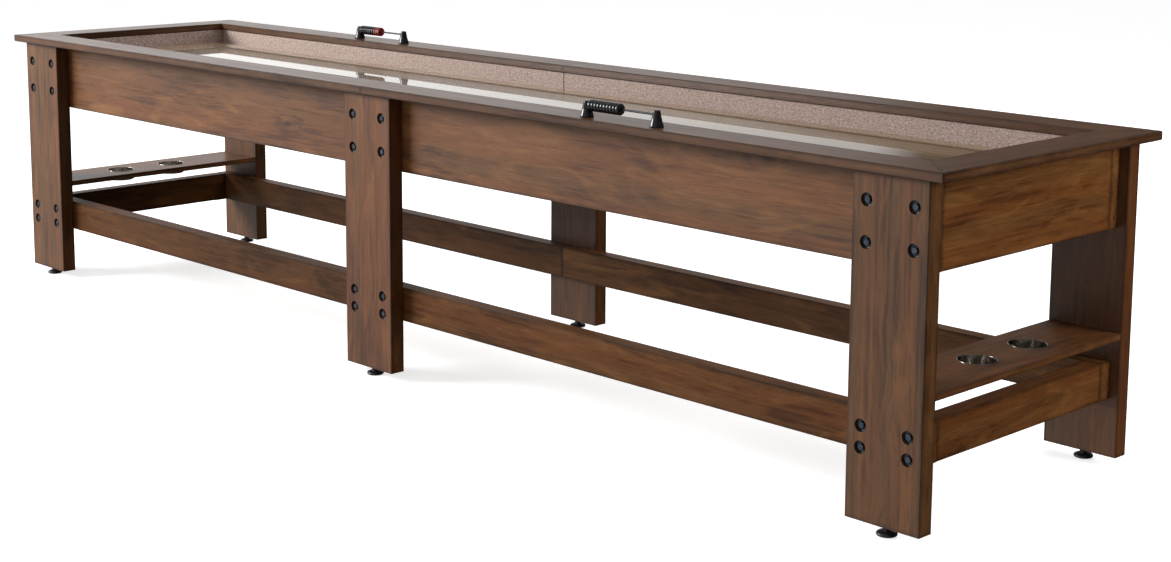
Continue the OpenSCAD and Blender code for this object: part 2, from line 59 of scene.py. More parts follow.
class Graph:
    """A node tree, with short calls for the nodes that the looks use."""

    def __init__(self, tree):
        self.tree = tree
        self.tree.nodes.clear()

    def feed(self, socket, value):
        if isinstance(value, bpy.types.NodeSocket):
            self.tree.links.new(value, socket)
        elif isinstance(value, (tuple, list, Vector)):
            value = tuple(value)
            socket.default_value = value + (1.0,) if len(socket.default_value) > len(value) else value
        else:
            socket.default_value = value

    def node(self, kind, props=None, **inputs):
        made = self.tree.nodes.new(kind)
        for key, value in (props or {}).items():
            setattr(made, key, value)
        for key, value in inputs.items():
            self.feed(made.inputs[key.replace("_", " ")], value)
        return made

    def math(self, operation, *values):
        made = self.tree.nodes.new("ShaderNodeMath")
        made.operation = operation
        for socket, value in zip(made.inputs, values):
            self.feed(socket, value)
        return made.outputs[0]

    def plus(self, first, second):
        return self.math("ADD", first, second)

    def minus(self, first, second):
        return self.math("SUBTRACT", first, second)

    def times(self, first, second):
        return self.math("MULTIPLY", first, second)

    def vector(self, operation, first, second):
        made = self.tree.nodes.new("ShaderNodeVectorMath")
        made.operation = operation
        self.feed(made.inputs[0], first)
        self.feed(made.inputs[1], second)
        return made.outputs[0]

    def mix(self, share, first, second, blend="MIX"):
        made = self.tree.nodes.new("ShaderNodeMix")
        made.data_type = "RGBA"
        made.blend_type = blend
        self.feed(made.inputs[0], share)
        self.feed(made.inputs[6], first)
        self.feed(made.inputs[7], second)
        return made.outputs[2]

    def shaded(self, colour, shade):
        """The colour times one number."""
        return self.mix(1.0, colour, self.joined(shade, shade, shade), "MULTIPLY")

    def noise(self, at, scale=1.0, detail=2.0, rough=0.5, bend=0.0):
        made = self.node("ShaderNodeTexNoise", Vector=at, Scale=scale, Detail=detail, Roughness=rough,
                         Distortion=bend)
        return made.outputs["Fac"]

    def span(self, value, low, high, start=0.0, end=1.0, smooth=True):
        made = self.tree.nodes.new("ShaderNodeMapRange")
        made.interpolation_type = "SMOOTHSTEP" if smooth else "LINEAR"
        for socket, v in zip(made.inputs, (value, low, high, start, end)):
            self.feed(socket, v)
        return made.outputs[0]

    def ramp(self, value, *stops):
        made = self.tree.nodes.new("ShaderNodeValToRGB")
        made.color_ramp.interpolation = "EASE"
        elements = made.color_ramp.elements
        while len(elements) < len(stops):
            elements.new(0.5)
        for element, (place, colour) in zip(elements, stops):
            element.position = place
            element.color = tuple(colour) + (1.0,)
        self.feed(made.inputs[0], value)
        return made.outputs[0]

    def place(self):
        """The point in the table's frame, in metres."""
        return self.tree.nodes.new("ShaderNodeTexCoord").outputs["Object"]

    def apart(self, vector):
        return self.node("ShaderNodeSeparateXYZ", Vector=vector).outputs

    def joined(self, x, y, z):
        return self.node("ShaderNodeCombineXYZ", X=x, Y=y, Z=z).outputs[0]

    def stretched(self, at, along, across, through=None):
        return self.vector("MULTIPLY", at, (along, across, across if through is None else through))


class Finish(Graph):
    """A material: the node tree around one principled shader."""

    def __init__(self, name):
        self.material = bpy.data.materials.new(name)
        self.material.use_nodes = True
        super().__init__(self.material.node_tree)
        self.shader = self.tree.nodes.new("ShaderNodeBsdfPrincipled")
        output = self.tree.nodes.new("ShaderNodeOutputMaterial")
        self.tree.links.new(self.shader.outputs[0], output.inputs[0])

    def bump(self, height, depth, strength):
        made = self.node("ShaderNodeBump", Height=height, Distance=depth, Strength=strength)
        self.feed(self.shader.inputs["Normal"], made.outputs[0])

    def finish(self, **inputs):
        for key, value in inputs.items():
            self.feed(self.shader.inputs[key.replace("_", " ")], value)
        return self.material


def scaled(colour, by):
    return tuple(min(1.0, c * by) for c in colour)


GRAIN_ORDER = {"x": (0, 1, 2), "y": (1, 0, 2), "z": (2, 0, 1)}
COOL_STAVE = (0.86, 0.97, 1.06)
PLAIN_STAVE = (1.0, 1.0, 1.0)
WARM_STAVE = (1.10, 0.94, 0.84)


def grain_place(g, grain, shift):
    """The point with its first number along the grain, moved by the board's own shift."""
    xyz = g.apart(g.place())
    first, second, third = (xyz[k] for k in GRAIN_ORDER[grain])
    return g.vector("ADD", g.joined(first, second, third), shift)


def seam_shade(g, half_gap, *gaps):
    """Near 1 on the board, falling to a dark line where any of the given distances is close to 0."""
    shade = None
    for gap in gaps:
        near = g.span(g.math("ABSOLUTE", gap), half_gap * 0.5, half_gap * 1.6, 0.25, 1.0)
        shade = near if shade is None else g.times(shade, near)
    return shade


def edge_wear_and_shade(g, node, depth):
    """Near 1 on the faces of a board and darker along all its edges: partly burnished stain, partly painted
    shade where the board meets other parts.
    """
    low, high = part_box(node)
    spans = []
    for k, at in enumerate(g.apart(g.place())):
        spans.append(g.math("MINIMUM", g.minus(at, low[k]), g.minus(high[k], at)))
    a, b, c = spans
    second = g.math("MAXIMUM", g.math("MINIMUM", a, b), g.math("MINIMUM", g.math("MAXIMUM", a, b), c))
    uneven = g.times(g.noise(g.place(), 28.0, 2.0), 0.011)
    return g.span(g.minus(second, uneven), -0.006, 0.005, 1.0 - depth, 1.0)


def knots_near(g, at, swayed):
    """Two masks: the dark middle of each knot, and the wide ring in which the grain bends round it."""
    cell = g.node("ShaderNodeTexVoronoi", Vector=g.stretched(swayed, along=3.1, across=7.5), Scale=1.0,
                  Randomness=0.9)
    ragged = g.times(g.minus(g.noise(at, 60.0), 0.5), 0.05)
    far = g.plus(cell.outputs["Distance"], ragged)
    return g.span(far, 0.03, 0.09, 1.0, 0.0), g.span(far, 0.05, 0.30, 1.0, 0.0)


def stain_level(g, swayed, bowed, streak, halo, knots, figured):
    """How much stain the wood took, from dark at 0.34 to light at 0.72: clouds, growth lines and streaks."""
    cloud = g.noise(g.stretched(swayed, along=1.7, across=9.0), detail=5.0, rough=0.66, bend=0.6)
    growth = g.node("ShaderNodeTexWave", {"wave_type": "BANDS", "bands_direction": "Y"},
                    Vector=g.stretched(bowed, along=0.30, across=1.0), Scale=13.0, Distortion=7.5, Detail=2.0,
                    Detail_Scale=1.1, Detail_Roughness=0.55).outputs["Fac"]
    dash = g.noise(g.stretched(swayed, along=7.0, across=55.0), detail=3.0, rough=0.6)
    level = g.plus(g.times(cloud, 0.66), g.times(growth, 0.10 * figured))
    level = g.plus(level, g.times(g.minus(streak, 0.5), 0.55))
    level = g.plus(level, g.plus(0.13, g.times(g.minus(dash, 0.5), 0.30)))
    return g.minus(level, g.times(halo, 0.08 * knots))


def stain_colour(g, tone, at, swayed, level, staves, figured):
    """The stain's colour at that level, tinted by the glued staves and lit by flamed figure."""
    dark = (tone[0] * 0.55, tone[1] * 0.50, tone[2] * 0.50)
    light = (tone[0] * 1.42, tone[1] * 1.50, tone[2] * 1.60)
    gold = (tone[0] * 1.75, tone[1] * 1.95, tone[2] * 2.0)
    colour = g.ramp(level, (0.34, dark), (0.50, tone), (0.72, light))
    stave = g.noise(g.stretched(at, along=0.10, across=21.0), detail=0.0)
    tint = g.ramp(stave, (0.34, scaled(COOL_STAVE, 0.80)), (0.50, scaled(PLAIN_STAVE, 0.88)),
                  (0.66, scaled(WARM_STAVE, 0.86)))
    colour = g.mix(staves, colour, g.mix(1.0, colour, tint, "MULTIPLY"))
    flame = g.noise(g.stretched(swayed, along=3.6, across=17.0), detail=3.0, rough=0.55, bend=1.2)
    flame = g.span(flame, 0.50, 0.74)
    return g.mix(g.times(flame, 0.55 * figured), colour, gold)


def stained_wood(name, grain, tone, shift, staves=0.5, knots=1.0, rough=0.46, coat=0.12, shine=0.42,
                 lines=None, figured=1.0):
    """Brown stained wood for the board of that name; the grain runs along the axis given by its letter."""
    g = Finish(name)
    at = grain_place(g, grain, shift)
    sway = g.noise(g.stretched(at, along=0.9, across=2.6), detail=1.0)
    swayed = g.vector("ADD", at, g.joined(0.0, g.times(sway, 0.055), g.times(sway, 0.03)))
    knot, halo = knots_near(g, at, swayed)
    bowed = g.vector("ADD", swayed, g.joined(0.0, g.times(halo, 0.016), 0.0))

    streak = g.noise(g.stretched(bowed, along=3.0, across=120.0), detail=5.0, rough=0.68)
    fibre = g.noise(g.stretched(bowed, along=12.0, across=620.0), detail=2.0)
    pores = g.span(g.noise(g.stretched(bowed, along=26.0, across=900.0), detail=1.0), 0.60, 0.72)
    level = stain_level(g, swayed, bowed, streak, halo, knots, figured)
    colour = stain_colour(g, tone, at, swayed, level, staves, figured)

    shade = g.span(fibre, 0.25, 0.75, 0.80, 1.16, smooth=False)
    shade = g.times(shade, g.span(pores, 0.0, 1.0, 1.0, 0.62, smooth=False))
    # every edge of the board is darkened: burnished stain, and painted shade where it meets other parts
    shade = g.times(shade, edge_wear_and_shade(g, name, 0.45))
    if lines is not None:
        shade = g.times(shade, lines(g))
    knot_colour = (tone[0] * 0.20, tone[1] * 0.16, tone[2] * 0.16)
    colour = g.mix(g.times(knot, 0.85 * knots), g.shaded(colour, shade), knot_colour)

    relief = g.minus(g.plus(g.times(fibre, 0.6), g.times(streak, 0.8)), g.times(pores, 0.7))
    g.bump(relief, 0.00016, 0.4)
    return g.finish(Base_Color=colour, Roughness=g.span(streak, 0.3, 0.7, rough - 0.06, rough + 0.08),
                    Coat_Weight=coat, Coat_Roughness=0.22, IOR=1.45, Specular_IOR_Level=shine)


PLANK = 0.0393
PLAYFIELD_HALF_W = 0.216


def playfield_wood(name):
    """Honey maple planks about 39 mm wide under a thick mirror-like coat."""
    g = Finish(name)
    xyz = g.apart(g.place())
    planks = g.math("DIVIDE", g.plus(xyz[1], PLAYFIELD_HALF_W), PLANK)
    row = g.math("FLOOR", planks)
    inside = g.math("FRACT", planks)
    pick = g.node("ShaderNodeTexWhiteNoise", {"noise_dimensions": "1D"}, W=row).outputs["Value"]
    at = g.joined(g.plus(xyz[0], g.times(pick, 9.0)), g.plus(xyz[1], pick), xyz[2])
    cloud = g.noise(g.stretched(at, along=1.4, across=24.0), detail=3.0, rough=0.55, bend=0.3)
    streak = g.noise(g.stretched(at, along=3.0, across=260.0), detail=4.0, rough=0.62)
    level = g.plus(g.times(cloud, 0.6), g.times(streak, 0.3))
    level = g.plus(level, g.times(pick, 0.28))
    colour = g.ramp(level, (0.36, (0.13, 0.066, 0.017)), (0.58, (0.22, 0.120, 0.034)),
                    (0.82, (0.33, 0.196, 0.066)))
    joint = g.span(g.math("ABSOLUTE", g.minus(inside, 0.5)), 0.478, 0.496, 1.0, 0.45)
    colour = g.shaded(colour, joint)
    g.bump(g.noise(g.stretched(at, along=1.2, across=6.0), detail=1.0), 0.0004, 0.10)
    return g.finish(Base_Color=colour, Roughness=g.span(streak, 0.3, 0.7, 0.20, 0.30), Coat_Weight=1.0,
                    Coat_Roughness=0.02, Coat_IOR=2.0, IOR=1.5)


def carpet(name, seams):
    """Short looped carpet in taupe, pinkish beige and grey flecks."""
    g = Finish(name)
    place = g.place()
    fleck = g.noise(place, 420.0, 2.0, 0.6)
    patch = g.noise(g.stretched(place, 120.0, 120.0, 240.0), 1.0, 2.0, 0.6, 0.3)
    cell = g.node("ShaderNodeTexVoronoi", Vector=place, Scale=480.0, Randomness=1.0)
    loop = g.span(cell.outputs["Distance"], 0.10, 0.75, 1.0, 0.0)
    level = g.plus(g.times(fleck, 0.55), g.times(patch, 0.45))
    colour = g.ramp(level, (0.36, (0.29, 0.195, 0.165)), (0.46, (0.50, 0.365, 0.31)),
                    (0.54, (0.63, 0.485, 0.42)), (0.66, (0.84, 0.71, 0.64)))
    shade = g.span(loop, 0.0, 1.0, 0.78, 1.10, smooth=False)
    if seams:
        x = g.apart(place)[0]
        shade = g.times(shade, seam_shade(g, 0.0020, x))
    colour = g.shaded(colour, shade)
    g.bump(g.plus(loop, g.times(fleck, 0.8)), 0.0012, 0.8)
    return g.finish(Base_Color=colour, Roughness=0.95, Specular_IOR_Level=0.15, Sheen_Weight=0.12,
                    Sheen_Roughness=0.5)


def pale_wood(name, grain, tone):
    """Unfinished softwood or ply inside the frame."""
    g = Finish(name)
    at = grain_place(g, grain, (0.31, 0.17, 0.05))
    cloud = g.noise(g.stretched(at, along=1.6, across=14.0), detail=3.0, bend=0.5)
    streak = g.noise(g.stretched(at, along=4.0, across=210.0), detail=4.0, rough=0.65)
    level = g.plus(g.times(cloud, 0.6), g.times(streak, 0.4))
    colour = g.ramp(level, (0.36, scaled(tone, 0.62)), (0.52, tone), (0.68, scaled(tone, 1.32)))
    g.bump(streak, 0.0004, 0.6)
    return g.finish(Base_Color=colour, Roughness=g.span(streak, 0.3, 0.7, 0.62, 0.80))


def metal(name, tone, rough, metallic=1.0, wear=0.10, brushed=0.0):
    """Steel with fine scratches and uneven roughness; brushed steel is scratched in level lines."""
    g = Finish(name)
    place = g.place()
    blotch = g.noise(place, 70.0, 3.0, 0.6)
    if brushed:
        scratch = g.noise(g.stretched(place, 60.0, 60.0, 1900.0), detail=2.0)
    else:
        scratch = g.noise(place, 1300.0, 2.0)
    colour = g.ramp(blotch, (0.30, scaled(tone, 1.0 - wear)), (0.70, scaled(tone, 1.0 + wear)))
    g.bump(scratch, 0.00005, 0.35 + brushed)
    uneven = g.plus(g.times(blotch, 0.6), g.times(scratch, 0.4))
    return g.finish(Base_Color=colour, Metallic=metallic,
                    Roughness=g.span(uneven, 0.35, 0.65, rough - 0.06, rough + 0.08),
                    Anisotropic=0.6 * brushed)


def plastic(name, tone, rough, coat=0.5):
    """Moulded plastic with a faint orange-peel and uneven polish."""
    g = Finish(name)
    place = g.place()
    peel = g.noise(place, 420.0, 2.0)
    haze = g.noise(place, 55.0, 3.0, 0.6)
    colour = g.ramp(haze, (0.30, scaled(tone, 0.85)), (0.70, scaled(tone, 1.2)))
    g.bump(peel, 0.00004, 0.35)
    return g.finish(Base_Color=colour, Roughness=g.span(haze, 0.35, 0.65, rough, rough + 0.08),
                    Coat_Weight=coat, Coat_Roughness=0.06, IOR=1.5, Specular_IOR_Level=0.35)


# ---------------------------------------------------------------- mesh helpers

def object_from(bm, name, smooth=True, angle=32.0):
    mesh = bpy.data.meshes.new(name)
    bmesh.ops.recalc_face_normals(bm, faces=bm.faces)
    bm.to_mesh(mesh)
    bm.free()
    made = bpy.data.objects.new(name, mesh)
    bpy.context.scene.collection.objects.link(made)
    if smooth:
        mesh.shade_smooth()
        mesh.set_sharp_from_angle(angle=math.radians(angle))
    return made


def rounded(profile, radius, steps=4):
    """The profile with each inner corner cut to an arc of about that radius."""
    points = [Vector(p) for p in profile]
    out = [points[0]]
    for before, corner, after in zip(points, points[1:], points[2:]):
        a, b = before - corner, after - corner
        reach = min(radius, a.length * 0.45, b.length * 0.45)
        start = corner + a.normalized() * reach
        end = corner + b.normalized() * reach
        for k in range(steps + 1):
            t = k / steps
            out.append(start * (1 - t) ** 2 + corner * 2 * t * (1 - t) + end * t ** 2)
    out.append(points[-1])
    return [(p.x, p.y) for p in out]


def turned(bm, profile, steps, place):
    """Adds a lathe shape: profile is (radius, height) pairs from axis to axis, place a matrix."""
    rings = []
    for radius, height in profile:
        if radius < 1e-7:
            rings.append([bm.verts.new(place @ Vector((0, 0, height)))])
        else:
            rings.append([bm.verts.new(place @ Vector((radius * math.cos(k * math.tau / steps),
                                                        radius * math.sin(k * math.tau / steps), height)))
                          for k in range(steps)])
    for low, high in zip(rings, rings[1:]):
        for k in range(steps):
            j = (k + 1) % steps
            corners = [low[k % len(low)], low[j % len(low)], high[j % len(high)], high[k % len(high)]]
            corners = list(dict.fromkeys(corners))
            if len(corners) > 2:
                bm.faces.new(corners)


HEX_STEPS = 48
HEX_FLAT_TOP = 0.96  # radius of the flat on a hex head, as a share of the inner radius


def hexagon(bm, flats, low, high, chamfer, place):
    """Adds a hex head or nut whose top corners are turned down by the chamfer."""
    inner = flats / 2
    outer = inner / math.cos(math.pi / 6)
    angles = [k * math.tau / HEX_STEPS for k in range(HEX_STEPS)]
    edges = [inner / math.cos(angle % (math.pi / 3) - math.pi / 6) for angle in angles]
    drops = [chamfer * (edge - inner) / (outer - inner) + chamfer * 0.25 for edge in edges]
    flat = [inner * HEX_FLAT_TOP] * HEX_STEPS
    rings = []
    for radii, heights in ((edges, [low] * HEX_STEPS), (edges, [high - drop for drop in drops]),
                           (flat, [high] * HEX_STEPS)):
        points = [Vector((r * math.cos(a), r * math.sin(a), h)) for a, r, h in zip(angles, radii, heights)]
        rings.append([bm.verts.new(place @ point) for point in points])
    for low_ring, high_ring in zip(rings, rings[1:]):
        for k in range(HEX_STEPS):
            j = (k + 1) % HEX_STEPS
            bm.faces.new((low_ring[k], low_ring[j], high_ring[j], high_ring[k]))
    bm.faces.new(rings[-1])
    bm.faces.new(list(reversed(rings[0])))


def dressed(piece, body, slot, material, *stands_for):
    piece.data.materials.clear()
    piece.data.materials.append(material)
    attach(piece, body)
    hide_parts(*stands_for)
    return piece


def upright(x, y, z=0.0):
    return Matrix.Translation((x, y, z))


# ---------------------------------------------------------------- sizes from the frame

leg_box = {(side, way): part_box(f"leg_{side}_{way}") for side in LONG_SIDES for way in LEG_PLACES}
rail_top = max(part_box("rail_front_left")[1].z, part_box("rail_front_right")[1].z)
half_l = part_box("rail_end_right")[1].x
half_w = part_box("rail_back_right")[1].y
leg_face_y = leg_box["back", "left"][1].y
shelf_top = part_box("shelf_left")[1].z

# ---------------------------------------------------------------- materials on the boards

STAIN = (0.150, 0.057, 0.0165)
RAIL_STAIN = (0.096, 0.041, 0.017)
# the back legs are darkened to 0.70 as painted shade, for the shelves and aprons that keep the key light off
# them
LEG_SHADE = {"front": 0.95, "back": 0.70}
# the stretchers are darkened, the left ones most, as painted shade low under the table and away from the key
# light
LOW_SHADE = {"left": 0.62, "right": 0.80}
SEAM = 0.0014
draw = random.Random(41)


def own_shift():
    return (draw.uniform(-9, 9), draw.uniform(-9, 9), draw.uniform(-9, 9))


def own_tone(tone, spread=0.07):
    by = 1 + draw.uniform(-spread, spread)
    warm = draw.uniform(-0.03, 0.03)
    return (tone[0] * by * (1 + warm), tone[1] * by, tone[2] * by * (1 - warm))


def paint(node, material):
    mesh = nodes[node].data
    mesh.materials.clear()
    mesh.materials.append(material)


def rail_lines(g):
    """The mitres at the corners and the seam in the middle of the long rails."""
    x, y, _ = g.apart(g.place())
    mitre = g.minus(g.math("ABSOLUTE", x), g.math("ABSOLUTE", y))
    return seam_shade(g, SEAM, x, g.minus(mitre, half_l - half_w))


def board_lines(g):
    """The seam in the middle of the long aprons and stretchers."""
    return seam_shade(g, SEAM, g.apart(g.place())[0])


for side in LONG_SIDES:
    for way in LEG_PLACES:
        name = f"leg_{side}_{way}"
        # the back legs take painted shade through this factor
        tone = scaled(STAIN, LEG_SHADE[side])
        paint(name, stained_wood(name, "z", own_tone(tone), own_shift(), staves=0.9, knots=0.5, figured=0.6))
for side in (*LONG_SIDES, "end"):
    across = side == "end"
    for way in ENDS:
        grain = "y" if across else "x"
        # the stretchers' stain is darkened here as painted shade low under the table
        for kind, tone, shine in (("apron", STAIN, 0.42), ("stretcher", scaled(STAIN, LOW_SHADE[way]), 0.16)):
            name = f"{kind}_{side}_{way}"
            polished = kind == "apron" and not across
            paint(name, stained_wood(name, grain, own_tone(tone, 0.03), own_shift(), staves=0.55,
                                     lines=None if across else board_lines, shine=0.18 if across else shine,
                                     coat=0.12 if polished else 0.02))
        name = f"rail_{side}_{way}"
        paint(name, stained_wood(name, grain, own_tone(RAIL_STAIN, 0.03), own_shift(), staves=0.2, knots=0.2,
                                 rough=0.38, coat=0.20, shine=0.32, lines=rail_lines, figured=0.5))
for way in ENDS:
    name = f"shelf_{way}"
    paint(name, stained_wood(name, "y", own_tone(scaled(STAIN, 0.8)), own_shift(), staves=0.5, knots=0.6))

paint("playfield", playfield_wood("gloss_maple"))
ply = pale_wood("plain_ply", "x", (0.47, 0.32, 0.17))
beam = pale_wood("plain_softwood", "y", (0.50, 0.34, 0.18))
for name in ("cradle_floor", "floor_cleats", "shelf_dowels"):
    paint(name, ply)
paint("riser_beams", beam)

black_steel = metal("black_steel", (0.035, 0.036, 0.040), 0.40, metallic=0.7)
zinc = metal("zinc_steel", (0.52, 0.53, 0.54), 0.34)
for name in ("adjuster_brackets", "corner_brackets", "seam_plates"):
    paint(name, black_steel)
for name in ("adjuster_rods", "leg_bolt_inserts", "leveller_inserts", "scorer_studs", "frame_screws"):
    paint(name, zinc)
paint("scorer_rods", metal("black_rod", (0.018, 0.018, 0.020), 0.42, metallic=0.4))

# ---------------------------------------------------------------- carpets

CARPET_STEP = 0.006
PILE = 0.0011
HALF_SEAM = 0.0003
TUCK = 0.012  # how far the floor carpet runs under the playfield


def pile(point):
    """How deep the face of the carpet is sunk at that point."""
    return PILE * (0.5 + 0.5 * noise.noise(point * 170.0)) + 0.4 * PILE * abs(noise.noise(point * 420.0))


def carpet_slab(bm, low, high, face):
    """A closed slab whose one face is a fine grid sunk unevenly by the pile; face is (axis, sign)."""
    axis, sign = face
    u, v = [k for k in range(3) if k != axis]
    nu = max(2, round((high[u] - low[u]) / CARPET_STEP))
    nv = max(2, round((high[v] - low[v]) / CARPET_STEP))
    front = high[axis] if sign > 0 else low[axis]
    back = low[axis] if sign > 0 else high[axis]
    grid = []
    for i in range(nu + 1):
        line = []
        for j in range(nv + 1):
            p = Vector((0, 0, 0))
            p[u] = low[u] + (high[u] - low[u]) * i / nu
            p[v] = low[v] + (high[v] - low[v]) * j / nv
            p[axis] = front
            rim = i in (0, nu) or j in (0, nv)
            p[axis] -= sign * (PILE if rim else pile(p))
            line.append(bm.verts.new(p))
        grid.append(line)
    for i in range(nu):
        for j in range(nv):
            bm.faces.new((grid[i][j], grid[i + 1][j], grid[i + 1][j + 1], grid[i][j + 1]))
    border = [grid[i][0] for i in range(nu)] + [grid[nu][j] for j in range(nv)]
    border += [grid[i][nv] for i in range(nu, 0, -1)] + [grid[0][j] for j in range(nv, 0, -1)]
    sunk = []
    for vert in border:
        p = vert.co.copy()
        p[axis] = back
        sunk.append(bm.verts.new(p))
    for k in range(len(border)):
        j = (k + 1) % len(border)
        bm.faces.new((border[k], border[j], sunk[j], sunk[k]))
    bm.faces.new(list(reversed(sunk)))


wall_mat = carpet("gutter_carpet_wall", seams=True)
floor_mat = carpet("gutter_carpet_floor", seams=False)
for side, sign in (("front", -1), ("back", 1)):
    low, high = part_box(f"wall_carpet_{side}")
    bm = bmesh.new()
    for a, b in ((low.x, -HALF_SEAM), (HALF_SEAM, high.x)):
        carpet_slab(bm, (a, low.y, low.z), (b, high.y, high.z), (1, -sign))
    dressed(object_from(bm, f"pile_wall_{side}", angle=60), "root", "gutter_carpet", wall_mat,
            f"wall_carpet_{side}")

low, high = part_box("wall_carpet_ends")
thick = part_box("wall_carpet_back")[1].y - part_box("wall_carpet_back")[0].y
bm = bmesh.new()
carpet_slab(bm, (low.x, low.y, low.z), (low.x + thick, high.y, high.z), (0, 1))
carpet_slab(bm, (high.x - thick, low.y, low.z), (high.x, high.y, high.z), (0, -1))
dressed(object_from(bm, "pile_wall_ends", angle=60), "root", "gutter_carpet", wall_mat, "wall_carpet_ends")

low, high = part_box("floor_carpet")
field_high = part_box("playfield")[1]
in_x, in_y = field_high.x - TUCK, field_high.y - TUCK
bm = bmesh.new()
for sign in (-1, 1):
    ys = sorted((sign * in_y, sign * high.y))
    carpet_slab(bm, (low.x, ys[0], low.z), (high.x, ys[1], high.z), (2, 1))
    xs = sorted((sign * in_x, sign * high.x))
    carpet_slab(bm, (xs[0], -in_y, low.z), (xs[1], in_y, high.z), (2, 1))
dressed(object_from(bm, "pile_floor", angle=60), "root", "gutter_carpet", floor_mat, "floor_carpet")

# ---------------------------------------------------------------- scorers

POST_PITCH = 0.223
BEAD_PITCH = 0.010
BEAD_T = BEAD_PITCH - 0.0003
BEAD_STOP = 0.0126  # from the axis of the left post to the first bead
BORE_R = 0.00258
ALONG_X = Matrix.Rotation(math.radians(90), 4, "Y")
POST_PROFILE = [(0.0, 0.0), (0.0165, 0.0), (0.0165, 0.0027), (0.0152, 0.0072), (0.0134, 0.0130),
                (0.0117, 0.0190), (0.0104, 0.0260), (0.0092, 0.0330), (0.0085, 0.0364), (0.0069, 0.0384),
                (0.0041, 0.0390), (0.0, 0.0390)]

rod_low, rod_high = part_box("scorer_rods")
rod_z = (rod_low.z + rod_high.z) / 2
front_low, front_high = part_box("beads_front_black")
back_low, back_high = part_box("beads_back_black")
red_low, red_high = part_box("beads_back_red")
front_y = (front_low.y + front_high.y) / 2
back_y = (back_low.y + back_high.y) / 2
front_x = front_low.x - BEAD_STOP + POST_PITCH / 2
back_x = back_low.x - BEAD_STOP + POST_PITCH / 2

gloss_black = plastic("black_plastic", (0.008, 0.008, 0.009), 0.16, coat=0.2)
gloss_red = plastic("red_plastic", (0.17, 0.010, 0.008), 0.16)

bm = bmesh.new()
for x, y in ((front_x, front_y), (back_x, back_y)):
    for sign in (-1, 1):
        turned(bm, rounded(POST_PROFILE, 0.0024), 72, upright(x + sign * POST_PITCH / 2, y, rail_top))
dressed(object_from(bm, "scorer_posts_turned", angle=50), "root", "black_plastic", gloss_black,
        "scorer_posts")

bead_r = (front_high.z - front_low.z) / 2
BEAD_PROFILE = [(BORE_R, 0.0009), (0.0040, 0.0), (bead_r - 0.0026, 0.0), (bead_r - 0.0009, 0.0011),
                (bead_r, 0.0030), (bead_r, BEAD_T - 0.0030), (bead_r - 0.0009, BEAD_T - 0.0011),
                (bead_r - 0.0026, BEAD_T), (0.0040, BEAD_T), (BORE_R, BEAD_T - 0.0009), (BORE_R, 0.0009)]


def bead_run(name, low, high, y):
    """The beads between the two ends of that box, side by side on the rod."""
    bm = bmesh.new()
    for k in range(round((high.x - low.x) / BEAD_PITCH)):
        turned(bm, rounded(BEAD_PROFILE, 0.0012), 64, upright(low.x + k * BEAD_PITCH, y, rod_z) @ ALONG_X)
    bmesh.ops.remove_doubles(bm, verts=bm.verts, dist=1e-6)
    return object_from(bm, name, angle=55)


dressed(bead_run("beads_front_turned", front_low, front_high, front_y), "beads_front", "black_plastic",
        gloss_black, "beads_front_black")
dressed(bead_run("beads_back_turned", back_low, back_high, back_y), "beads_back", "black_plastic",
        gloss_black, "beads_back_black")
dressed(bead_run("beads_red_turned", red_low, red_high, back_y), "beads_back", "red_plastic", gloss_red,
        "beads_back_red")

# ---------------------------------------------------------------- cup liners

steel = metal("cup_steel", (0.40, 0.37, 0.34), 0.18, brushed=0.5)
CUP_R, WALL_T, RIM, CUP_DEPTH = 0.042, 0.0012, 0.0024, 0.030
LINER_PROFILE = [(0.0, -CUP_DEPTH - WALL_T), (CUP_R + WALL_T - 0.002, -CUP_DEPTH - WALL_T),
                 (CUP_R + WALL_T, -CUP_DEPTH - WALL_T + 0.002), (CUP_R + WALL_T, 0.0), (CUP_R + RIM, 0.0),
                 (CUP_R + RIM - 0.0004, WALL_T), (CUP_R, WALL_T), (CUP_R, -CUP_DEPTH), (0.0, -CUP_DEPTH)]
for way in ENDS:
    for side in LONG_SIDES:
        node = f"cup_liner_{way}_{side}"
        low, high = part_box(node)
        bm = bmesh.new()
        turned(bm, rounded(LINER_PROFILE, 0.0009), 128,
               upright((low.x + high.x) / 2, (low.y + high.y) / 2, shelf_top))
        dressed(object_from(bm, f"cup_spun_{way}_{side}", angle=50), "root", "cup_steel", steel, node)

# ---------------------------------------------------------------- leg bolts

BOLT_DX = 0.0595
BOLT_ROWS = (0.178, 0.225, 0.610, 0.698)
BORE_DEPTH, WASHER_T, WASHER_R, LIP_H, LIP_T = 0.009, 0.0016, 0.0141, 0.005, 0.0015
HEAD_FLATS, HEAD_H, BOLT_R, FLANGE_R = 0.013, 0.0053, 0.004, 0.0079
CHAMFER = 0.0006
BOLT_INSIDE = 0.0642  # from the face of the leg to the hidden end of the bolt
HOLE_R = BOLT_R + 0.0003
SEAT = -BORE_DEPTH + WASHER_T
FLANGE_TOP = SEAT + 0.0008

washer_steel = metal("washer_steel", (0.045, 0.046, 0.050), 0.26)
blued = metal("blued_steel", (0.075, 0.090, 0.115), 0.32, wear=0.2)
CUP_PROFILE = [(HOLE_R, -BORE_DEPTH), (WASHER_R, -BORE_DEPTH), (WASHER_R, -BORE_DEPTH + LIP_H),
               (WASHER_R - LIP_T, -BORE_DEPTH + LIP_H), (WASHER_R - LIP_T, SEAT), (HOLE_R, SEAT),
               (HOLE_R, -BORE_DEPTH)]
FLANGE_PROFILE = [(0.0, SEAT), (FLANGE_R - 0.0003, SEAT), (FLANGE_R, SEAT + 0.0004),
                  (FLANGE_R - 0.0003, FLANGE_TOP), (0.0, FLANGE_TOP)]
SHANK_PROFILE = [(0.0, -BOLT_INSIDE), (BOLT_R - CHAMFER, -BOLT_INSIDE), (BOLT_R, -BOLT_INSIDE + CHAMFER),
                 (BOLT_R, SEAT), (0.0, SEAT)]
bolt_bm, cup_bm = bmesh.new(), bmesh.new()
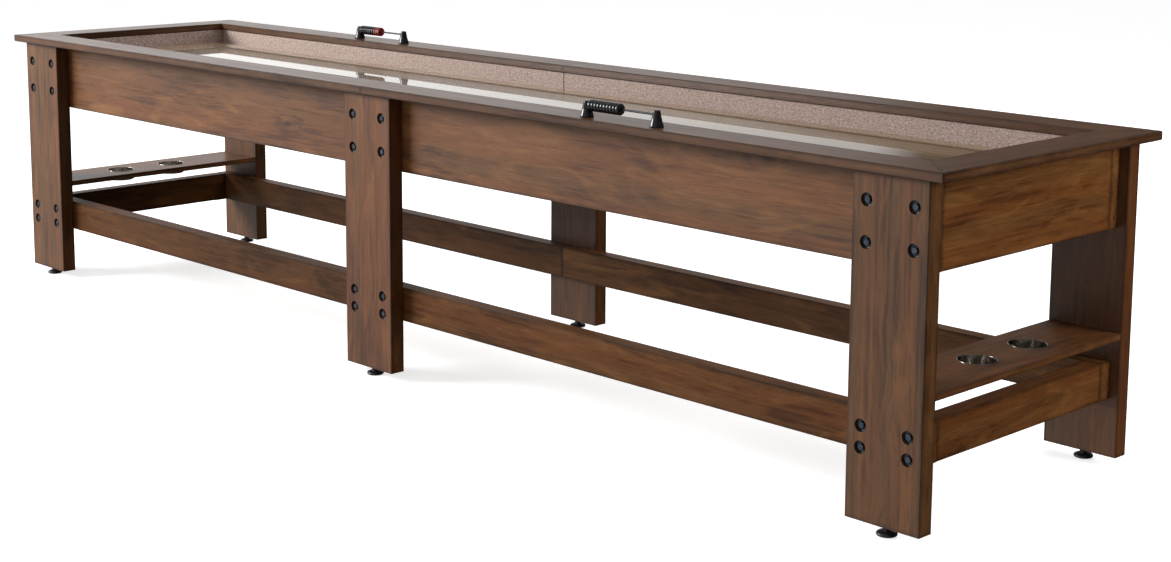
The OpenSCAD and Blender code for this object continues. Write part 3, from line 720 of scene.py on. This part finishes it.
for (side, _), (low, high) in leg_box.items():
    sign = -1 if side == "front" else 1
    outward = Matrix.Rotation(math.radians(-90 * sign), 4, "X")
    for row in BOLT_ROWS:
        for k in (-1, 1):
            face = upright((low.x + high.x) / 2 + k * BOLT_DX, sign * leg_face_y, row) @ outward
            spun = face @ Matrix.Rotation(draw.uniform(0, math.tau), 4, "Z")
            turned(cup_bm, rounded(CUP_PROFILE, 0.0006, 3), 40, face)
            turned(bolt_bm, FLANGE_PROFILE, 40, spun)
            hexagon(bolt_bm, HEAD_FLATS, FLANGE_TOP, SEAT + HEAD_H, 0.0011, spun)
            turned(bolt_bm, SHANK_PROFILE, 24, face)
bmesh.ops.remove_doubles(cup_bm, verts=cup_bm.verts, dist=1e-6)
dressed(object_from(cup_bm, "washer_cups", angle=45), "root", "black_steel", washer_steel, "leg_bolt_washers")
dressed(object_from(bolt_bm, "bolts_chamfered", angle=28), "root", "blued_steel", blued, "leg_bolts")

# ---------------------------------------------------------------- levelling feet

foot_black = plastic("leveller_black", (0.014, 0.014, 0.015), 0.34, coat=0.2)
FOOT_PROFILE = [(0.0, 0.0), (0.0208, 0.0), (0.0225, 0.0018), (0.0225, 0.0050), (0.0203, 0.0075),
                (0.0120, 0.0098), (0.0085, 0.0100), (0.0, 0.0100)]
STEM_R, STEM_FROM, STEM_CHAMFER = 0.005, 0.0145, 0.0008
NUT_FLATS, NUT_FROM, NUT_TO = 0.017, 0.0096, 0.0150
for side in LONG_SIDES:
    for way in LEG_PLACES:
        node = f"leveller_{side}_{way}"
        low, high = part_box(node)
        at = upright((low.x + high.x) / 2, (low.y + high.y) / 2)
        bm = bmesh.new()
        turned(bm, rounded(FOOT_PROFILE, 0.0012), 64, at)
        hexagon(bm, NUT_FLATS, NUT_FROM, NUT_TO, 0.0010, at)
        turned(bm, [(0.0, STEM_FROM), (STEM_R, STEM_FROM), (STEM_R, high.z - STEM_CHAMFER),
                    (STEM_R - STEM_CHAMFER, high.z), (0.0, high.z)], 32, at)
        dressed(object_from(bm, f"foot_{side}_{way}_moulded", angle=35), f"foot_{side}_{way}",
                "leveller_black", foot_black, node)

# ---------------------------------------------------------------- stage, light and camera

FLOOR_REACH = 60.0
FLOOR_Z = -0.0005
FLOOR_GLOW = 0.62
bm = bmesh.new()
bm.faces.new([bm.verts.new((x * FLOOR_REACH, y * FLOOR_REACH, FLOOR_Z)) for x, y in
              ((-1, -1), (1, -1), (1, 1), (-1, 1))])
ground = object_from(bm, "studio_floor", smooth=False)
pale = Finish("pale_floor")
shade = pale.span(pale.noise(pale.place(), 3.0, 2.0), 0.3, 0.7, 0.80, 0.83)
ground.data.materials.append(pale.finish(Base_Color=pale.joined(shade, shade, shade), Roughness=0.9,
                                         Specular_IOR_Level=0.1, Emission_Color=(1.0, 1.0, 1.0),
                                         Emission_Strength=FLOOR_GLOW))
ground.data.materials[0].cycles.emission_sampling = "NONE"
ground.visible_diffuse = False
ground.visible_glossy = False


def soft_light(name, place, aim, size, power, mirrored=True):
    """A rectangular lamp that the camera does not see; gloss shows it only when it is mirrored."""
    data = bpy.data.lights.new(name, "AREA")
    data.shape = "RECTANGLE"
    data.size, data.size_y = size
    data.energy = power
    made = bpy.data.objects.new(name, data)
    bpy.context.scene.collection.objects.link(made)
    made.location = place
    made.rotation_euler = (Vector(aim) - Vector(place)).to_track_quat("-Z", "Y").to_euler()
    made.visible_camera = False
    made.visible_glossy = mirrored


soft_light("key_left_front", (-4.6, -4.2, 3.0), (-0.8, 0.0, 0.5), (3.0, 2.4), 520)
soft_light("fill_right_end", (4.3, 1.2, 1.5), (1.8, 0.0, 0.4), (1.4, 1.0), 70, mirrored=False)
soft_light("fill_back", (-0.5, 5.2, 2.8), (0.0, 0.0, 0.4), (4.0, 2.0), 150, mirrored=False)


WALL_TOWARD = math.radians(170)
FRONT_TOWARD = (-0.45, -0.89)
DIM, OVERHEAD, SHOWN = 0.05, 0.42, 0.93


def studio_world():
    """Light from all round, as in a studio with one white wall.

    It is bright at the back left, where the wall is, soft overhead and low in front, and dim elsewhere. The
    camera sees one pale grey instead.
    """
    world = bpy.data.worlds.new("studio")
    world.use_nodes = True
    g = Graph(world.node_tree)
    tree = g.tree
    look = tree.nodes.new("ShaderNodeTexCoord").outputs["Generated"]
    x, y, z = g.apart(look)
    side = g.plus(g.times(x, math.cos(WALL_TOWARD)), g.times(y, math.sin(WALL_TOWARD)))
    wall = g.times(g.span(side, 0.700, 0.726), g.span(side, 0.72, 0.96, 0.62, 1.40))
    wall = g.math("MAXIMUM", wall, DIM)
    frontness = g.plus(g.times(x, FRONT_TOWARD[0]), g.times(y, FRONT_TOWARD[1]))
    front = g.span(frontness, -0.2, 0.9, 0.03, 0.55)
    below = g.span(frontness, -0.3, 0.9, 0.06, 0.72)
    low_band = g.math("MAXIMUM", wall, front)
    over = g.span(z, -0.04, 0.02)
    low_band = g.plus(g.times(low_band, over),
                      g.times(below, g.minus(1.0, over)))
    above = g.span(z, 0.22, 0.75)
    level = g.plus(g.times(low_band, g.minus(1.0, above)), g.times(above, OVERHEAD))
    path = tree.nodes.new("ShaderNodeLightPath").outputs["Is Camera Ray"]
    shown = g.plus(g.times(level, g.minus(1.0, path)), g.times(path, SHOWN))
    back = tree.nodes.new("ShaderNodeBackground")
    g.feed(back.inputs["Color"], (1.0, 1.0, 1.0))
    g.feed(back.inputs["Strength"], shown)
    out = tree.nodes.new("ShaderNodeOutputWorld")
    tree.links.new(back.outputs[0], out.inputs[0])
    bpy.context.scene.world = world


studio_world()
bpy.context.scene.view_settings.view_transform = "Standard"
bpy.context.scene.view_settings.look = "None"

CAMERA_AT = (3.9876, -3.5116, 1.4052)
CAMERA_HEADING, CAMERA_DROP, CAMERA_ROLL = 45.514, 8.688, 0.344
camera_data = bpy.data.cameras.new("camera")
camera_data.sensor_width = 36.0
camera_data.lens = 59.619
camera_data.shift_y = -0.12
camera = bpy.data.objects.new("camera", camera_data)
bpy.context.scene.collection.objects.link(camera)
camera.matrix_world = (Matrix.Translation(CAMERA_AT)
                       @ Matrix.Rotation(math.radians(CAMERA_HEADING), 4, "Z")
                       @ Matrix.Rotation(math.radians(90 - CAMERA_DROP), 4, "X")
                       @ Matrix.Rotation(math.radians(CAMERA_ROLL), 4, "Z"))
bpy.context.scene.camera = camera
